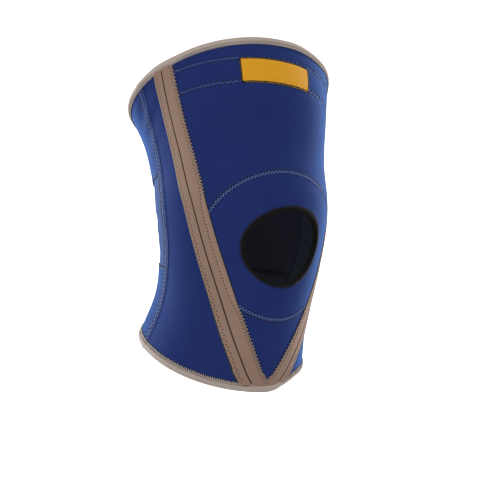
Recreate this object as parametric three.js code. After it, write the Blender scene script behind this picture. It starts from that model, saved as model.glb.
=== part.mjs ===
// A neoprene knee sleeve with an open kneecap, in the bent form that it has when worn.
// Millimetres, +Z up. The front faces -Y, the thigh end is up, and the origin is on the
// centre line at the bend of the knee. Angles are degrees round the sleeve from the front
// line, positive towards +X. Places along the sleeve are measured on the bent centre line.

import * as THREE from 'three';

// Centre line: the length of each half, how far it leans back, and the radius of the bend
const THIGH_LENGTH = 95;
const CALF_LENGTH = 113.5;
const THIGH_LEAN = 24.4;
const CALF_LEAN = 26.2;
const BEND_RADIUS = 222;

// Size round the sleeve: full width, and depth from the centre line to the front and back
const THIGH_WIDTH = 161;
const THIGH_FRONT = 78.4;
const THIGH_BACK = 66.1;
const KNEE_WIDTH = 132.4;
const KNEE_FRONT = 63.7;
const KNEE_BACK = 59.6;
const CALF_WIDTH = 124.4;
const CALF_FRONT = 62.2;
const CALF_BACK = 64.6;

// The power of each section's outline: 2 is an ellipse, and more is squarer
const SQUARENESS = 2.15;

// The rims aren't cut square: how far each dips at the front, how far the side towards +X is
// drawn towards the knee, and the angles between which each of these sets in
const THIGH_DIP = 1.6;
const THIGH_DRAW = 2.8;
const CALF_DIP = 2.8;
const CALF_DRAW = 9.5;
const THIGH_DIP_TURNS = [-80, -58];
const THIGH_DRAW_TURNS = [6, 34];
const CALF_DRAW_TURNS = [2, 38];
const LEVEL_AGAIN_TURNS = [110, 180];

// Walls
const WALL = 4;
const PAD_WALL = 5;
const INSERT_WALL = 2;
const INSERT_INSET = 0.8;
const SEAM_GAP = 0.3;

// Rolled bindings at the two rims and round the kneecap opening
const BINDING_HEIGHT = 5;
const BINDING_PROUD = 0.9;
const RING_WIDTH = 3.2;
const RING_PROUD = 0.7;

// The kneecap opening and the oval pad round it, as widths and heights on the cloth
const OPENING_WIDTH = 64;
const OPENING_HEIGHT = 52.5;
const PAD_WIDTH = 126;
const PAD_HEIGHT = 109;
const PAD_ALONG = -0.228;

// The opening hangs a little, leans, and is wider above its middle than below, by a share
const OPENING_DROP = 1;
const OPENING_TILT = 15;
const OPENING_FLARE = 0.1;

// Tapes over the side seams: the bands on each side of the crease, the crease's depth, and
// the angle at which the two tapes meet above the calf rim
const TAPE_FRONT_BAND = 10.5;
const TAPE_REAR_BAND = 8;
const TAPE_THICKNESS = 1.2;
const TAPE_GAP = 0.5;
const TAPES_MEET = 1.5;
const CREASE_WIDTH = 1.6;
const CREASE_DEPTH = 0.6;

// The thin insert behind the knee, as shares of the two halves
const INSERT_TOP = 0.285;
const INSERT_BOTTOM = -0.44;

// The plain label above the knee
const LABEL_WIDTH = 60;
const LABEL_HEIGHT = 14;
const LABEL_THICKNESS = 1;
const LABEL_TURN = -5.8;
const LABEL_ALONG = 0.768;

// How finely the walls are divided
const FRONT_COLUMNS = 24;
const SIDE_ROWS = 18;
const PANEL_RINGS = 10;
const PAD_RINGS = 4;
const BACK_COLUMNS = 16;
const BACK_ROWS = 6;
const TAPE_ROWS = 26;
const LABEL_COLUMNS = 6;
const LABEL_ROWS = 2;
const ROLL_SIDES = 8;

// Sections from the calf rim, -1, through the bend, 0, to the thigh rim, 1. Sizes are shares
// of the named sizes. tape and seam are the angles of a tape's crease and of a back seam, and
// shift is how many degrees further back the tape on the +X side lies.
const SECTIONS = [
  { along: -1.0, width: CALF_WIDTH, front: CALF_FRONT, back: CALF_BACK,
    tape: 5.5, shift: 3.2, seam: 102.5 },
  { along: -0.67, width: 0.905 * CALF_WIDTH, front: 0.953 * CALF_FRONT, back: 0.961 * CALF_BACK,
    tape: 33.5, shift: 1, seam: 102 },
  { along: -0.33, width: 0.926 * KNEE_WIDTH, front: 0.923 * KNEE_FRONT, back: 0.933 * KNEE_BACK,
    tape: 55, shift: 2.6, seam: 94.5 },
  { along: 0, width: KNEE_WIDTH, front: KNEE_FRONT, back: KNEE_BACK,
    tape: 66.8, shift: 2.6, seam: 95 },
  { along: 0.33, width: 0.992 * KNEE_WIDTH, front: 0.981 * KNEE_FRONT, back: 1.131 * KNEE_BACK,
    tape: 74.6, shift: 1.5, seam: 99.5 },
  { along: 0.67, width: 0.87 * THIGH_WIDTH, front: 0.932 * THIGH_FRONT, back: 1.024 * THIGH_BACK,
    tape: 76, shift: 0, seam: 98.5 },
  { along: 1.0, width: THIGH_WIDTH, front: THIGH_FRONT, back: THIGH_BACK,
    tape: 70, shift: 0, seam: 89 },
];
const COLUMNS = ['width', 'front', 'back', 'tape', 'shift', 'seam'];

const sectionCurve = new THREE.CubicInterpolant(
  SECTIONS.map((row) => row.along),
  SECTIONS.flatMap((row) => COLUMNS.map((column) => row[column])),
  COLUMNS.length,
);

const { degToRad, euclideanModulo, lerp, smoothstep } = THREE.MathUtils;

// The place on the centre line, in mm from the bend, of a share of the thigh or calf half
function placeAlong(share) {
  return share * (share >= 0 ? THIGH_LENGTH : CALF_LENGTH);
}

// The section at a place: its sizes and the angles of the tape and the seam there
function sectionAt(place) {
  const share = place / (place >= 0 ? THIGH_LENGTH : CALF_LENGTH);
  const [width, front, back, tape, shift, seam] = sectionCurve.evaluate(share);
  return { width, front, back, tape, shift, seam };
}

// How far the cloth at a rim is drawn up or down at an angle, which fades out towards the knee
function rimWave(angle, place) {
  const turn = euclideanModulo(angle + 180, 360) - 180;
  const fade = 1 - smoothstep(turn, ...LEVEL_AGAIN_TURNS);
  if (place < 0) {
    const drawn = smoothstep(turn, ...CALF_DRAW_TURNS) * fade;
    return (CALF_DRAW * drawn - CALF_DIP) * (-place / CALF_LENGTH) ** 3;
  }
  const dipped = smoothstep(turn, ...THIGH_DIP_TURNS) * fade;
  const drawn = smoothstep(turn, ...THIGH_DRAW_TURNS) * fade;
  return -(THIGH_DIP * dipped + THIGH_DRAW * drawn) * (place / THIGH_LENGTH) ** 3;
}

// The centre line bends back on an arc on both sides of the knee and runs straight beyond
function centreLine(place) {
  const side = Math.sign(place);
  const lean = degToRad(place >= 0 ? THIGH_LEAN : CALF_LEAN);
  const turn = Math.min(Math.abs(place) / BEND_RADIUS, lean);
  const straight = Math.abs(place) - BEND_RADIUS * turn;
  return {
    y: BEND_RADIUS * (1 - Math.cos(turn)) + straight * Math.sin(turn),
    z: side * (BEND_RADIUS * Math.sin(turn) + straight * Math.cos(turn)),
    turn: side * turn,
  };
}

// A point of the sleeve's outer surface
function outerPoint(angle, place) {
  const { width, front, back } = sectionAt(place);
  const cos = Math.cos(degToRad(angle));
  const sin = Math.sin(degToRad(angle));
  const depth = cos >= 0 ? front : back;
  const sum = Math.abs(cos / depth) ** SQUARENESS + Math.abs(sin / (width / 2)) ** SQUARENESS;
  const radius = sum ** (-1 / SQUARENESS);
  const { y, z, turn } = centreLine(place + rimWave(angle, place));
  const forward = radius * cos;
  return new THREE.Vector3(
    radius * sin,
    y - forward * Math.cos(turn),
    z + forward * Math.sin(turn),
  );
}

// How the outer surface runs at a point: millimetres per degree round and per mm along
function slopes(angle, place) {
  const step = 0.01;
  const low = Math.max(place - step, -CALF_LENGTH);
  const high = Math.min(place + step, THIGH_LENGTH);
  const round = outerPoint(angle + step, place).sub(outerPoint(angle - step, place));
  const along = outerPoint(angle, high).sub(outerPoint(angle, low));
  return { round: round.divideScalar(2 * step), along: along.divideScalar(high - low) };
}

// A point raised from the outer surface by lift, or sunk below it where lift is negative
function liftedPoint(angle, place, lift) {
  const { round, along } = slopes(angle, place);
  return outerPoint(angle, place).addScaledVector(round.cross(along).normalize(), lift);
}

// The degrees round the sleeve that a width on the cloth takes
function degreesFor(width, angle, place) {
  return width / slopes(angle, place).round.length();
}

// The volume that a mesh of triangles encloses, negative if it is inside out
function enclosedVolume(points, index) {
  let volume = 0;
  for (let i = 0; i < index.length; i += 3) {
    const [a, b, c] = [points[index[i]], points[index[i + 1]], points[index[i + 2]]];
    volume += a.dot(b.clone().cross(c)) / 6;
  }
  return volume;
}

// A closed solid through a row of loops that have the same number of points. A closed row
// joins its last loop to its first, and an open one gets flat ends.
function sweptSolid(loops, closedRow) {
  const count = loops[0].length;
  const points = loops.flat();
  const index = [];
  const quad = (a, b, c, d) => index.push(a, b, c, a, c, d);
  const at = (loop, k) => (loop % loops.length) * count + (k % count);
  const joins = closedRow ? loops.length : loops.length - 1;
  for (let j = 0; j < joins; j += 1) {
    for (let k = 0; k < count; k += 1) {
      quad(at(j, k), at(j + 1, k), at(j + 1, k + 1), at(j, k + 1));
    }
  }
  if (!closedRow) {
    const last = loops.length - 1;
    for (let k = 0; k < count / 2 - 1; k += 1) {
      quad(at(0, k), at(0, k + 1), at(0, count - 2 - k), at(0, count - 1 - k));
      quad(at(last, count - 1 - k), at(last, count - 2 - k), at(last, k + 1), at(last, k));
    }
  }
  if (enclosedVolume(points, index) < 0) {
    index.reverse();
  }
  const geometry = new THREE.BufferGeometry().setFromPoints(points);
  geometry.setIndex(index);
  geometry.computeVertexNormals();
  return geometry;
}

// A loop round a strip of wall: its places at the outer lift, then back at the inner lift
function wallLoop(places, outer, inner) {
  const lifted = (lift) => places.map(({ angle, place }) => liftedPoint(angle, place, lift));
  return [...lifted(outer), ...lifted(inner).reverse()];
}

function evenly(from, to, steps) {
  return Array.from({ length: steps + 1 }, (_, i) => lerp(from, to, i / steps));
}

function mixPlaces(a, b, share) {
  return { angle: lerp(a.angle, b.angle, share), place: lerp(a.place, b.place, share) };
}

// The place on the cloth that lies some way across and up from the middle of the pad
function fromPadMiddle(across, up) {
  const place = placeAlong(PAD_ALONG);
  const { round, along } = slopes(0, place);
  return { angle: across / round.length(), place: place + up / along.length() };
}

const panelTop = THIGH_LENGTH - BINDING_HEIGHT - SEAM_GAP;
const panelBottom = -CALF_LENGTH + BINDING_HEIGHT + SEAM_GAP;
const seamAngle = (place) => sectionAt(place).seam - degreesFor(SEAM_GAP / 2, 90, place);

// The front panel's outline, from the bottom of its +X edge, anticlockwise from the front
function frontOutline() {
  const edge = (side) => (place) => ({ angle: side * seamAngle(place), place });
  const rim = (place, side) => (share) => ({ angle: side * share * seamAngle(place), place });
  const right = evenly(panelBottom, panelTop, SIDE_ROWS).map(edge(1));
  const top = evenly(1, -1, FRONT_COLUMNS).map(rim(panelTop, 1));
  const left = evenly(panelTop, panelBottom, SIDE_ROWS).map(edge(-1));
  const bottom = evenly(-1, 1, FRONT_COLUMNS).map(rim(panelBottom, 1));
  return [right, top, left, bottom].flatMap((side) => side.slice(0, -1));
}

// The direction of each outline point from the pad's centre, so that all rings line up
const outline = frontOutline();
const directions = outline.map(({ angle, place }) => {
  const rise = (place - placeAlong(PAD_ALONG)) / PAD_HEIGHT;
  const across = angle * slopes(0, 0).round.length() / PAD_WIDTH;
  return Math.atan2(rise, across);
});

// A point of the pad's edge, grown all round by a margin
function padEdge(direction, margin) {
  return fromPadMiddle(
    (PAD_WIDTH / 2 + margin) * Math.cos(direction),
    (PAD_HEIGHT / 2 + margin) * Math.sin(direction),
  );
}

// A point of the opening's edge, grown all round by a margin
function openingEdge(direction, margin) {
  const tilt = degToRad(OPENING_TILT);
  const flare = 1 + OPENING_FLARE * Math.sin(direction - tilt);
  const across = (OPENING_WIDTH / 2 + margin) * flare * Math.cos(direction - tilt);
  const up = (OPENING_HEIGHT / 2 + margin) * Math.sin(direction - tilt);
  return fromPadMiddle(
    across * Math.cos(tilt) - up * Math.sin(tilt),
    across * Math.sin(tilt) + up * Math.cos(tilt) - OPENING_DROP,
  );
}

// The front and both sides, in one piece of neoprene with an oval hole for the pad
function frontPanel() {
  const loops = outline.map((corner, i) => {
    const hole = padEdge(directions[i], SEAM_GAP / 2);
    const places = evenly(0, 1, PANEL_RINGS).map((share) => mixPlaces(corner, hole, share));
    return wallLoop(places, 0, -WALL);
  });
  return sweptSolid(loops, true);
}

// The oval pad round the kneecap, from its seam to the edge of the opening's binding
function kneePad() {
  const loops = directions.map((direction) => {
    const rim = padEdge(direction, -SEAM_GAP / 2);
    const hole = openingEdge(direction, RING_WIDTH + SEAM_GAP);
    const places = evenly(0, 1, PAD_RINGS).map((share) => mixPlaces(rim, hole, share));
    return wallLoop(places, 0, -PAD_WALL);
  });
  return sweptSolid(loops, true);
}

// A roll's section as a stretched polygon: how far across the roll and how high each point is
function rollSection(width, wall, proud) {
  const reach = 0.5 / Math.cos(Math.PI / ROLL_SIDES);
  return Array.from({ length: ROLL_SIDES }, (_, k) => {
    const turn = (k + 0.5) * 2 * Math.PI / ROLL_SIDES;
    return {
      across: width * (0.5 + reach * Math.cos(turn)),
      lift: (wall + 2 * proud) * reach * Math.sin(turn) - wall / 2,
    };
  });
}

// The binding rolled round the edge of the kneecap opening
function kneecapBinding() {
  const section = rollSection(RING_WIDTH, PAD_WALL, RING_PROUD);
  const loops = directions.map((direction) => section.map(({ across, lift }) => {
    const { angle, place } = openingEdge(direction, across);
    return liftedPoint(angle, place, lift);
  }));
  return sweptSolid(loops, true);
}

// The binding rolled round a rim. side is 1 at the thigh and -1 at the calf.
function rimBinding(rim, side) {
  const seam = sectionAt(rim).seam;
  const angles = [
    ...evenly(-seam, seam, FRONT_COLUMNS).slice(0, -1),
    ...evenly(seam, 360 - seam, BACK_COLUMNS).slice(0, -1),
  ];
  const section = rollSection(BINDING_HEIGHT, WALL, BINDING_PROUD);
  const loops = angles.map((angle) => section.map(({ across, lift }) => (
    liftedPoint(angle, rim - side * across, lift)
  )));
  return sweptSolid(loops, true);
}

// A panel of the back between the two seams, from one place to another
function backPanel(bottom, top, lift, wall) {
  const loops = evenly(0, 1, BACK_COLUMNS).map((share) => {
    const places = evenly(bottom, top, BACK_ROWS).map((place) => {
      const edge = seamAngle(place) + degreesFor(SEAM_GAP, 90, place);
      return { angle: lerp(edge, 360 - edge, share), place };
    });
    return wallLoop(places, lift, lift - wall);
  });
  return sweptSolid(loops, false);
}

// A tape over a side seam, with a crease along it. side is 1 towards +X and -1 towards -X.
// Its edges keep their distance from the crease square to its run, and its ends lie along
// the bindings. The two tapes are cut off where they meet.
function sideTape(side) {
  const columns = [
    { across: TAPE_REAR_BAND, height: TAPE_THICKNESS },
    { across: TAPE_REAR_BAND / 2, height: TAPE_THICKNESS },
    { across: CREASE_WIDTH / 2, height: TAPE_THICKNESS },
    { across: 0, height: TAPE_THICKNESS - CREASE_DEPTH },
    { across: -CREASE_WIDTH / 2, height: TAPE_THICKNESS },
    { across: -TAPE_FRONT_BAND / 2, height: TAPE_THICKNESS },
    { across: -TAPE_FRONT_BAND, height: TAPE_THICKNESS },
  ];
  const creaseAt = (place) => {
    const { tape, shift } = sectionAt(place);
    return tape + (side > 0 ? shift : 0);
  };
  const loops = evenly(panelBottom, panelTop, TAPE_ROWS).map((place) => {
    const crease = creaseAt(place);
    const { round, along } = slopes(side * crease, place);
    const step = 1;
    const drift = (creaseAt(place + step) - creaseAt(place - step)) / (2 * step);
    const slant = Math.atan(drift * round.length() / along.length());
    const frontLine = side * TAPES_MEET + degreesFor(SEAM_GAP / 2, 0, place);
    const points = columns.map(({ across, height }) => {
      const turned = crease + across / (Math.cos(slant) * round.length());
      return { angle: side * Math.max(turned, frontLine), height };
    });
    const outer = points.map(({ angle, height }) => liftedPoint(angle, place, TAPE_GAP + height));
    const inner = points.map(({ angle }) => liftedPoint(angle, place, TAPE_GAP));
    return [...outer, ...inner.reverse()];
  });
  return sweptSolid(loops, false);
}

// The label, a plain strip laid on the front panel
function labelStrip() {
  const middle = placeAlong(LABEL_ALONG);
  const { round, along } = slopes(LABEL_TURN, middle);
  const halfAngle = LABEL_WIDTH / 2 / round.length();
  const halfRise = LABEL_HEIGHT / 2 / along.length();
  const angles = evenly(LABEL_TURN - halfAngle, LABEL_TURN + halfAngle, LABEL_COLUMNS);
  const loops = angles.map((angle) => {
    const places = evenly(middle - halfRise, middle + halfRise, LABEL_ROWS)
      .map((place) => ({ angle, place }));
    return wallLoop(places, SEAM_GAP + LABEL_THICKNESS, SEAM_GAP);
  });
  return sweptSolid(loops, false);
}

const blueJersey = { color: 0x24306a, roughness: 0.85, metalness: 0 };
const smoothJersey = { color: 0x3b4a86, roughness: 0.75, metalness: 0 };
const beigeKnit = { color: 0x8d7463, roughness: 0.9, metalness: 0 };
const blackKnit = { color: 0x17100f, roughness: 0.9, metalness: 0 };
const amberWeave = { color: 0xf0a010, roughness: 0.7, metalness: 0 };

const sleeve = new THREE.Group();

function addPiece(name, geometry, finish) {
  const piece = new THREE.Mesh(geometry, new THREE.MeshStandardMaterial(finish));
  piece.name = name;
  sleeve.add(piece);
}

const insertTop = placeAlong(INSERT_TOP);
const insertBottom = placeAlong(INSERT_BOTTOM);
addPiece('front_panel', frontPanel(), blueJersey);
addPiece('knee_pad', kneePad(), blueJersey);
addPiece('upper_back_panel', backPanel(insertTop + SEAM_GAP, panelTop, 0, WALL), blueJersey);
addPiece('popliteal_insert', backPanel(insertBottom, insertTop, -INSERT_INSET, INSERT_WALL), smoothJersey);
addPiece('lower_back_panel', backPanel(panelBottom, insertBottom - SEAM_GAP, 0, WALL), blueJersey);
addPiece('thigh_binding', rimBinding(THIGH_LENGTH, 1), beigeKnit);
addPiece('calf_binding', rimBinding(-CALF_LENGTH, -1), beigeKnit);
addPiece('kneecap_binding', kneecapBinding(), blackKnit);
addPiece('lateral_tape', sideTape(-1), beigeKnit);
addPiece('medial_tape', sideTape(1), beigeKnit);
addPiece('label', labelStrip(), amberWeave);

export default sleeve;
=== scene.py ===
# %% [markdown]
# This scene dresses a knee sleeve: a bent tube of neoprene foam with blue jersey on its outer
# face, an open kneecap inside an oval pad, taped sides, a thin insert at the back, and bound
# rims. The CAD solids give its form. Each visible piece is made again here as cloth, with its
# seams, rolled edges and stitches.

# %% Load the CAD parts
import math

import bmesh
import bpy
import numpy as np
from mathutils import Matrix, Vector


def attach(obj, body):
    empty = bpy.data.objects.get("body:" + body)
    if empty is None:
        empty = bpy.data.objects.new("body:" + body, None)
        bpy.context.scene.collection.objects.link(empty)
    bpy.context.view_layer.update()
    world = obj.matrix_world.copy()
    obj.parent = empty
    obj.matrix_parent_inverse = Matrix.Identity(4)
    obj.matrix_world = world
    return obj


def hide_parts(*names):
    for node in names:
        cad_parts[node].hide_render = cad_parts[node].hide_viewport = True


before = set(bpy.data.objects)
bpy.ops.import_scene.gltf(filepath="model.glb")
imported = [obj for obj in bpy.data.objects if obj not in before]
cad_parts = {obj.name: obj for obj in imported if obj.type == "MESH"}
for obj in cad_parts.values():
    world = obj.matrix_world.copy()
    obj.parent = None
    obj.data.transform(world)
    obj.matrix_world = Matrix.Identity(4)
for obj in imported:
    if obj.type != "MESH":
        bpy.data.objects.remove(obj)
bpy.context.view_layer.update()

# %% [markdown]
# A sleeve is cut flat and takes its form when it is worn. So every piece here is drawn on
# flat cloth first, in millimetres: x runs round the sleeve from the front line, y runs up
# along it from the bend of the knee, and z is the height above the outer face. One function
# then lays any flat point on the bent form. This is easier than modelling on the form, because
# seams, tapes and rows of stitches are simple lines on the flat cloth. The form is the one
# that the CAD part has, so its sizes are repeated here. Only the angles of the tapes are a
# little finer.

# %% The sizes of the form
MM = 0.001
THIGH_LENGTH = 95.0
CALF_LENGTH = 113.5
THIGH_LEAN = math.radians(24.4)
CALF_LEAN = math.radians(26.2)
BEND_RADIUS = 222.0
THIGH_WIDTH, THIGH_FRONT, THIGH_BACK = 161.0, 78.4, 66.1
KNEE_WIDTH, KNEE_FRONT, KNEE_BACK = 132.4, 63.7, 59.6
CALF_WIDTH, CALF_FRONT, CALF_BACK = 124.4, 62.2, 64.6
SQUARENESS = 2.15
THIGH_DIP, THIGH_DRAW = 1.6, 2.8
CALF_DIP, CALF_DRAW = 2.8, 9.5
THIGH_DIP_TURNS = (-80.0, -58.0)
THIGH_DRAW_TURNS = (6.0, 34.0)
CALF_DRAW_TURNS = (2.0, 38.0)
LEVEL_AGAIN_TURNS = (110.0, 180.0)
SECTION_SHARES = np.array([-1.0, -0.67, -0.33, 0.0, 0.33, 0.67, 1.0])
SECTION_SIZES = np.array([
    [CALF_WIDTH, CALF_FRONT, CALF_BACK, 4.5, 8.5, 102.5],
    [0.905 * CALF_WIDTH, 0.953 * CALF_FRONT, 0.961 * CALF_BACK, 33.5, 36.0, 102.0],
    [0.926 * KNEE_WIDTH, 0.923 * KNEE_FRONT, 0.933 * KNEE_BACK, 55.0, 56.5, 94.5],
    [KNEE_WIDTH, KNEE_FRONT, KNEE_BACK, 66.8, 69.4, 95.0],
    [0.992 * KNEE_WIDTH, 0.981 * KNEE_FRONT, 1.131 * KNEE_BACK, 74.6, 76.0, 99.5],
    [0.87 * THIGH_WIDTH, 0.932 * THIGH_FRONT, 1.024 * THIGH_BACK, 76.0, 76.5, 98.5],
    [THIGH_WIDTH, THIGH_FRONT, THIGH_BACK, 70.0, 70.0, 89.0],
])
print("sections along the sleeve:", len(SECTION_SHARES))

# %% [markdown]
# Between the sections the sizes follow a smooth curve. Each section's columns are its width,
# its depth to the front and to the back, and the angles of the left tape's crease, of the
# right tape's and of the back seams. NumPy works out all the points of a mesh in one go, which
# keeps the script quick.

# %% A section at any place along the sleeve
secants = np.diff(SECTION_SIZES, axis=0) / np.diff(SECTION_SHARES)[:, None]
slopes = np.vstack([secants[:1], (secants[1:] + secants[:-1]) / 2, secants[-1:]])


def section_at(place):
    share = np.clip(np.where(place >= 0, place / THIGH_LENGTH, place / CALF_LENGTH), -1, 1)
    row = np.clip(np.searchsorted(SECTION_SHARES, share) - 1, 0, len(SECTION_SHARES) - 2)
    span = SECTION_SHARES[row + 1] - SECTION_SHARES[row]
    t = ((share - SECTION_SHARES[row]) / span)[..., None]
    rise = span[..., None]
    start = (1 + 2 * t) * (1 - t) ** 2 * SECTION_SIZES[row] + rise * t * (1 - t) ** 2 * slopes[row]
    end = t ** 2 * (3 - 2 * t) * SECTION_SIZES[row + 1] - rise * t ** 2 * (1 - t) * slopes[row + 1]
    return np.moveaxis(start + end, -1, 0)


def crease_angle(place, side=-1):
    return section_at(np.asarray(place, float))[3 if side < 0 else 4]


def seam_angle(place):
    return section_at(np.asarray(place, float))[5]


print("width at the bend:", section_at(np.zeros(1))[0])


# %% [markdown]
# The rims of a worn sleeve aren't level. Here the front of each rim dips a little, and its
# right side is drawn towards the knee. The draw fades out along the sleeve, so it bends the
# tapes and seams near the rims too, just as pulling the real cloth would.

# %% The bent outer face
def ease(value, low, high):
    """A smooth step from 0 at low to 1 at high."""
    t = np.clip((value - low) / (high - low), 0, 1)
    return t * t * (3 - 2 * t)


def rim_wave(angle, place):
    """How far the cloth is drawn along the sleeve, in mm: most at a rim, none at the knee."""
    turn = (angle + 180) % 360 - 180
    fade = 1 - ease(turn, *LEVEL_AGAIN_TURNS)
    calf_share = np.clip(-place / CALF_LENGTH, 0, 1) ** 3
    thigh_share = np.clip(place / THIGH_LENGTH, 0, 1) ** 3
    calf = CALF_DRAW * ease(turn, *CALF_DRAW_TURNS) * fade - CALF_DIP
    thigh = THIGH_DIP * ease(turn, *THIGH_DIP_TURNS) + THIGH_DRAW * ease(turn, *THIGH_DRAW_TURNS)
    return calf * calf_share - thigh * fade * thigh_share


def outer_point(angle, place):
    angle, place = np.broadcast_arrays(np.asarray(angle, float), np.asarray(place, float))
    width, front, back = section_at(place)[:3]
    cos, sin = np.cos(np.radians(angle)), np.sin(np.radians(angle))
    depth = np.where(cos >= 0, front, back)
    power = np.abs(cos / depth) ** SQUARENESS + np.abs(2 * sin / width) ** SQUARENESS
    radius = power ** (-1 / SQUARENESS)
    place = place + rim_wave(angle, place)
    side = np.sign(place)
    turn = np.minimum(np.abs(place) / BEND_RADIUS, np.where(place >= 0, THIGH_LEAN, CALF_LEAN))
    straight = np.abs(place) - BEND_RADIUS * turn
    y = BEND_RADIUS * (1 - np.cos(turn)) + straight * np.sin(turn)
    z = side * (BEND_RADIUS * np.sin(turn) + straight * np.cos(turn))
    forward = radius * cos
    return np.stack([radius * sin, y - forward * np.cos(turn), z + forward * np.sin(side * turn)], -1)


def run_of(angle, place):
    """Millimetres of cloth for one degree round, and for one millimetre along, as vectors."""
    step = 0.01
    low = np.maximum(place - step, -CALF_LENGTH)
    high = np.minimum(place + step, THIGH_LENGTH)
    around = (outer_point(angle + step, place) - outer_point(angle - step, place)) / (2 * step)
    along = (outer_point(angle, high) - outer_point(angle, low)) / (high - low)[..., None]
    return around, along


def outward(angle, place):
    around, along = run_of(angle, place)
    normal = np.cross(around, along)
    return normal / np.linalg.norm(normal, axis=-1, keepdims=True)


print("front of the bend in mm:", outer_point(0.0, 0.0).round(1))

# %% [markdown]
# Worn cloth isn't perfectly smooth. The relief below is a height in millimetres that every
# layer shares, so that tapes and stitches follow the cloth under them. It has soft folds
# behind the knee, where the bend gathers the thin insert, a few drag lines at the sides, a
# slight pull along the two rows of stitches above the knee, a low flat ridge at the back seams,
# and a low crown on the oval pad.

# %% Folds, drag lines and puckered rows
MM_PER_DEGREE = 1.2
PAD_PLACE = -0.228 * CALF_LENGTH
PAD_WIDTH, PAD_HEIGHT = 126.0, 109.0
FOLD_PITCH, FOLD_HEIGHT = 14.5, 0.75
SIDE_DRAG, SEAM_PULL = 0.30, 0.42
SEAM_RIDGE, SWAY, PAD_CROWN = 0.40, 0.22, 0.55
ROW_SLOPE, ROW_GROOVE = -0.052, 0.42


def hill(value, middle, width):
    return np.exp(-((value - middle) / width) ** 2)


def row_place(x, upper):
    """The two stitch rows above the knee: they drop to the right, but not as the rim does."""
    place = (80.0 if upper else 66.2) + ROW_SLOPE * x + 0.6 * np.sin(x / 21.0)
    return place - rim_wave(x / MM_PER_DEGREE, place)


def folds_behind(angle, place):
    """Folds across the thin insert, where the bend of the knee gathers it."""
    behind = 180 - np.abs(angle)
    line = place + 0.10 * behind + 1.5 * np.sin(behind / 17.0 + angle * 0.01)
    folds = np.cos(2 * np.pi * (line + 9) / FOLD_PITCH)
    return FOLD_HEIGHT * folds * hill(behind, 0, 52) * hill(place, -11, 30)


def drags_beside(angle, place):
    """Slanted drag lines beside the knee, and short ones at the back seams near the rim."""
    turn = np.abs(angle)
    slanted = np.sin((place * 0.9 - turn * MM_PER_DEGREE * 0.55) / 4.2)
    short = np.sin(place / 2.7 + turn / 5)
    beside_knee = SIDE_DRAG * slanted * hill(turn, 112, 16) * hill(place, -12, 26)
    return beside_knee + SEAM_PULL * short * hill(turn, 96, 11) * hill(place, 72, 19)


def puckered_rows(angle, place):
    """The groove that the two stitch rows pull into the front, between the tapes."""
    x = angle * MM_PER_DEGREE
    front = 1 / (1 + np.exp((np.abs(angle) - crease_angle(place) + 12) / 1.5))
    rows = hill(place, row_place(x, True), 1.7) + hill(place, row_place(x, False), 1.7)
    return -rows * front * (ROW_GROOVE + 0.12 * np.sin(x / 1.9) + 0.08 * np.sin(x / 0.83))


print("height of the folds in mm:", FOLD_HEIGHT)


# %% The soft relief that all layers follow
def relief(angle, place):
    """The height of the cloth above the plain form."""
    angle = (angle + 180) % 360 - 180
    x = angle * MM_PER_DEGREE
    seam_gap = (np.abs(angle) - seam_angle(place)) * MM_PER_DEGREE
    ridge = SEAM_RIDGE * np.exp(-(seam_gap / 3.6) ** 4)
    sway = SWAY * np.sin(x / 31.0 + place / 27.0) * np.sin(place / 19.0 - x / 45.0)
    oval = (x / PAD_WIDTH * 2) ** 2 + ((place - PAD_PLACE) / PAD_HEIGHT * 2) ** 2
    crown = PAD_CROWN * np.clip(1 - oval, 0, 1) ** 0.8
    worn = folds_behind(angle, place) + drags_beside(angle, place) + puckered_rows(angle, place)
    return worn + ridge + sway + crown


def wrap(x, y, z):
    """Lays flat cloth points, in millimetres, on the bent form, in metres."""
    angle = x / MM_PER_DEGREE
    height = z + relief(angle, y)
    return (outer_point(angle, y) + outward(angle, y) * height[..., None]) * MM


print("deepest fold in mm:", round(float(relief(np.full(200, 180.0), np.linspace(-60, 40, 200)).min()), 2))

# %% [markdown]
# A shader is a web of small nodes, and a formula is far easier to read than such a web. The
# class below holds one output socket, and each Python operator on it adds the Math node that
# does that sum. Any other node comes from one method, which sets the node's own settings
# first and then its inputs.

# %% Shader sums written as Python
class Wire:
    """One output socket of a shader tree."""

    def __init__(self, finish, socket):
        self.finish = finish
        self.socket = socket

    def sum(self, operation, first, second=0.0):
        return self.finish.node("ShaderNodeMath", {"operation": operation}, {0: first, 1: second})

    def __add__(self, other):
        return self.sum("ADD", self, other)

    def __radd__(self, other):
        return self.sum("ADD", other, self)

    def __sub__(self, other):
        return self.sum("SUBTRACT", self, other)

    def __rsub__(self, other):
        return self.sum("SUBTRACT", other, self)

    def __mul__(self, other):
        return self.sum("MULTIPLY", self, other)

    def __rmul__(self, other):
        return self.sum("MULTIPLY", other, self)

    def __truediv__(self, other):
        return self.sum("DIVIDE", self, other)

    def __pow__(self, other):
        return self.sum("POWER", self, other)

    def __abs__(self):
        return self.sum("ABSOLUTE", self)

    def cos(self):
        return self.sum("COSINE", self)

    def wave(self, pitch):
        """A wave from 0 to 1 that repeats after pitch."""
        return (self * (2 * math.pi / pitch)).cos() * 0.5 + 0.5


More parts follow.
